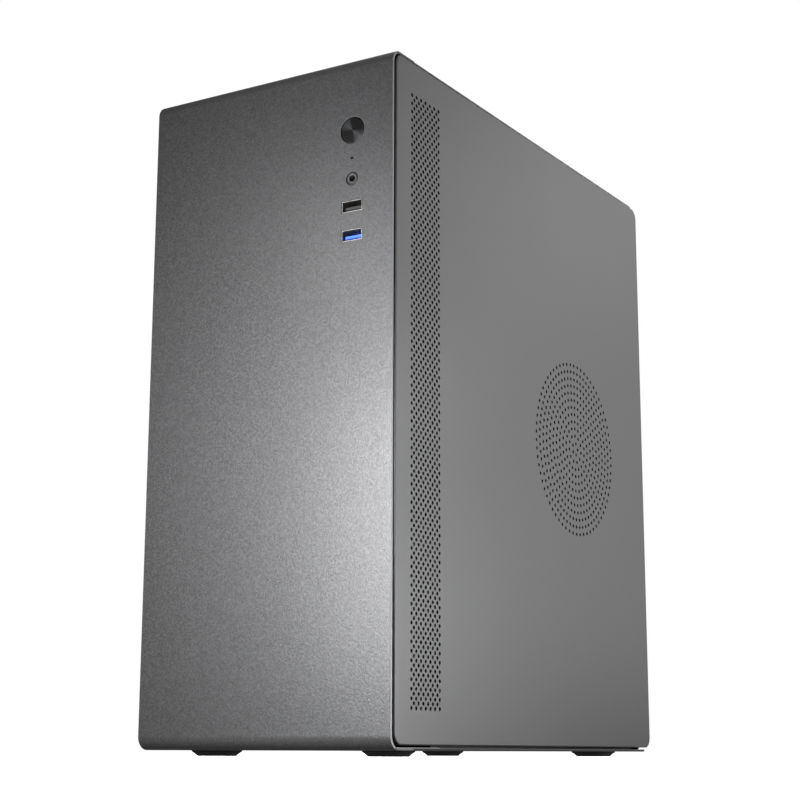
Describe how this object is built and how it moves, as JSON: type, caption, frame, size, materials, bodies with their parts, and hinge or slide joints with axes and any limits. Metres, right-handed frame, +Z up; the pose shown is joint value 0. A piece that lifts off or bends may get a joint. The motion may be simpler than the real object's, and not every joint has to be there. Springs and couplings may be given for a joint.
{
  "type": "desktop computer tower",
  "caption": "Narrow steel computer tower with a textured wrap-over front, a column of controls and sockets, perforated sliding side panels and a fitted board, power supply and drives.",
  "frame": {"origin": "centre of the bounding box at the surface that the feet stand on", "axes": "+X is the viewer's right when facing the front, the front faces -Y, +Z is up; the height is the longest side and the width the shortest"},
  "size_m": [0.1752, 0.353, 0.4033],
  "materials": {
    "textured_paint": "fine-grained satin grey paint",
    "smooth_paint": "smooth satin grey paint",
    "dark_steel": "dark painted steel",
    "zinc_steel": "zinc-plated steel",
    "turned_metal": "turned and anodised",
    "black_plastic": "moulded",
    "grey_plastic": "moulded",
    "blue_plastic": "moulded",
    "rubber": "moulded",
    "green_board": "solder resist",
    "aluminium": "extruded",
    "nickel": "nickel-plated",
    "clear_plastic": "moulded, smoky"
  },
  "bodies": {
    "chassis": {"audio_jack": "grey_plastic", "base_cover": "smooth_paint", "board_power_cable": "black_plastic", "board_power_socket": "grey_plastic", "card_slot": "black_plastic", "chipset_heatsink": "aluminium", "coin_cell": "nickel", "cooler_fan_frame": "black_plastic", "cpu_heatsink": "aluminium", "cpu_socket": "nickel", "drive_cage": "dark_steel", "foot_front_left": "rubber", "foot_front_right": "rubber", "foot_rear_left": "rubber", "foot_rear_right": "rubber", "front_bulkhead": "dark_steel", "front_io_board": "green_board", "front_io_cable": "black_plastic", "front_panel": "textured_paint", "hard_drive": "aluminium", "io_shield": "zinc_steel", "mains_inlet": "black_plastic", "memory_module": "green_board", "memory_slot": "black_plastic", "motherboard": "green_board", "motherboard_tray": "dark_steel", "power_switch": "black_plastic", "psu_board": "green_board", "psu_case": "dark_steel", "psu_fan_guard": "nickel", "rear_fan_frame": "black_plastic", "rear_ports": "nickel", "rear_wall": "dark_steel", "regulator_heatsink": "aluminium", "slot_cover_1": "zinc_steel", "slot_cover_2": "zinc_steel", "slot_cover_3": "zinc_steel", "slot_cover_4": "zinc_steel", "solid_state_drive": "grey_plastic", "status_light": "clear_plastic", "top_cover": "smooth_paint", "usb2_shell": "nickel", "usb2_tongue": "black_plastic", "usb3_shell": "nickel", "usb3_tongue": "blue_plastic"},
    "power_button": {"power_button": "turned_metal"},
    "left_side_panel": {"left_side_panel": "smooth_paint"},
    "right_side_panel": {"right_side_panel": "smooth_paint"},
    "rear_fan_rotor": {"rear_fan_rotor": "black_plastic"},
    "cooler_fan_rotor": {"cooler_fan_rotor": "black_plastic"},
    "psu_fan_rotor": {"psu_fan_rotor": "black_plastic"},
    "psu_rocker": {"psu_rocker": "black_plastic"},
    "washer_left_lower": {"washer_left_lower": "black_plastic"},
    "thumbscrew_left_lower": {"thumbscrew_left_lower": "zinc_steel"},
    "washer_left_upper": {"washer_left_upper": "black_plastic"},
    "thumbscrew_left_upper": {"thumbscrew_left_upper": "zinc_steel"},
    "washer_right_lower": {"washer_right_lower": "black_plastic"},
    "thumbscrew_right_lower": {"thumbscrew_right_lower": "zinc_steel"},
    "washer_right_upper": {"washer_right_upper": "black_plastic"},
    "thumbscrew_right_upper": {"thumbscrew_right_upper": "zinc_steel"}
  },
  "joints": [
    {"name": "power_button_press", "type": "slide", "parent": "chassis", "child": "power_button", "axis": [0, 1, 0], "range_m": [0, 0.0015], "stiffness_N_per_m": 900},
    {"name": "left_panel_slide", "type": "slide", "parent": "chassis", "child": "left_side_panel", "axis": [0, 1, 0], "range_m": [0, 0.015]},
    {"name": "right_panel_slide", "type": "slide", "parent": "chassis", "child": "right_side_panel", "axis": [0, 1, 0], "range_m": [0, 0.015]},
    {"name": "washer_left_lower_withdraw", "type": "slide", "parent": "left_side_panel", "child": "washer_left_lower", "axis": [0, 1, 0], "range_m": [0, 0.00635]},
    {"name": "thumbscrew_left_lower_turn", "type": "hinge", "parent": "washer_left_lower", "child": "thumbscrew_left_lower", "pos_m": [-0.0794, 0.1705, 0.044], "axis": [0, -1, 0], "range_deg": [-2881, 1]},
    {"name": "washer_left_upper_withdraw", "type": "slide", "parent": "left_side_panel", "child": "washer_left_upper", "axis": [0, 1, 0], "range_m": [0, 0.00635]},
    {"name": "thumbscrew_left_upper_turn", "type": "hinge", "parent": "washer_left_upper", "child": "thumbscrew_left_upper", "pos_m": [-0.0794, 0.1705, 0.364], "axis": [0, -1, 0], "range_deg": [-2881, 1]},
    {"name": "washer_right_lower_withdraw", "type": "slide", "parent": "right_side_panel", "child": "washer_right_lower", "axis": [0, 1, 0], "range_m": [0, 0.00635]},
    {"name": "thumbscrew_right_lower_turn", "type": "hinge", "parent": "washer_right_lower", "child": "thumbscrew_right_lower", "pos_m": [0.0794, 0.1705, 0.044], "axis": [0, -1, 0], "range_deg": [-2881, 1]},
    {"name": "washer_right_upper_withdraw", "type": "slide", "parent": "right_side_panel", "child": "washer_right_upper", "axis": [0, 1, 0], "range_m": [0, 0.00635]},
    {"name": "thumbscrew_right_upper_turn", "type": "hinge", "parent": "washer_right_upper", "child": "thumbscrew_right_upper", "pos_m": [0.0794, 0.1705, 0.364], "axis": [0, -1, 0], "range_deg": [-2881, 1]},
    {"name": "rear_fan_spin", "type": "hinge", "parent": "chassis", "child": "rear_fan_rotor", "pos_m": [-0.028, 0.1556, 0.225], "axis": [0, 1, 0], "continuous": true},
    {"name": "cooler_fan_spin", "type": "hinge", "parent": "chassis", "child": "cooler_fan_rotor", "pos_m": [0.0128, 0.0571, 0.2025], "axis": [1, 0, 0], "continuous": true},
    {"name": "psu_fan_spin", "type": "hinge", "parent": "chassis", "child": "psu_fan_rotor", "pos_m": [0, 0.0941, 0.3225], "axis": [0, 0, 1], "continuous": true},
    {"name": "psu_rocker_tilt", "type": "hinge", "parent": "chassis", "child": "psu_rocker", "pos_m": [-0.018, 0.1581, 0.36], "axis": [1, 0, 0], "range_deg": [-14, 0]}
  ],
  "couplings": [
    {"joint": "thumbscrew_left_lower_turn", "follows": "washer_left_lower_withdraw", "rad_per_m": -7915.8},
    {"joint": "thumbscrew_left_upper_turn", "follows": "washer_left_upper_withdraw", "rad_per_m": -7915.8},
    {"joint": "thumbscrew_right_lower_turn", "follows": "washer_right_lower_withdraw", "rad_per_m": -7915.8},
    {"joint": "thumbscrew_right_upper_turn", "follows": "washer_right_upper_withdraw", "rad_per_m": -7915.8}
  ]
}
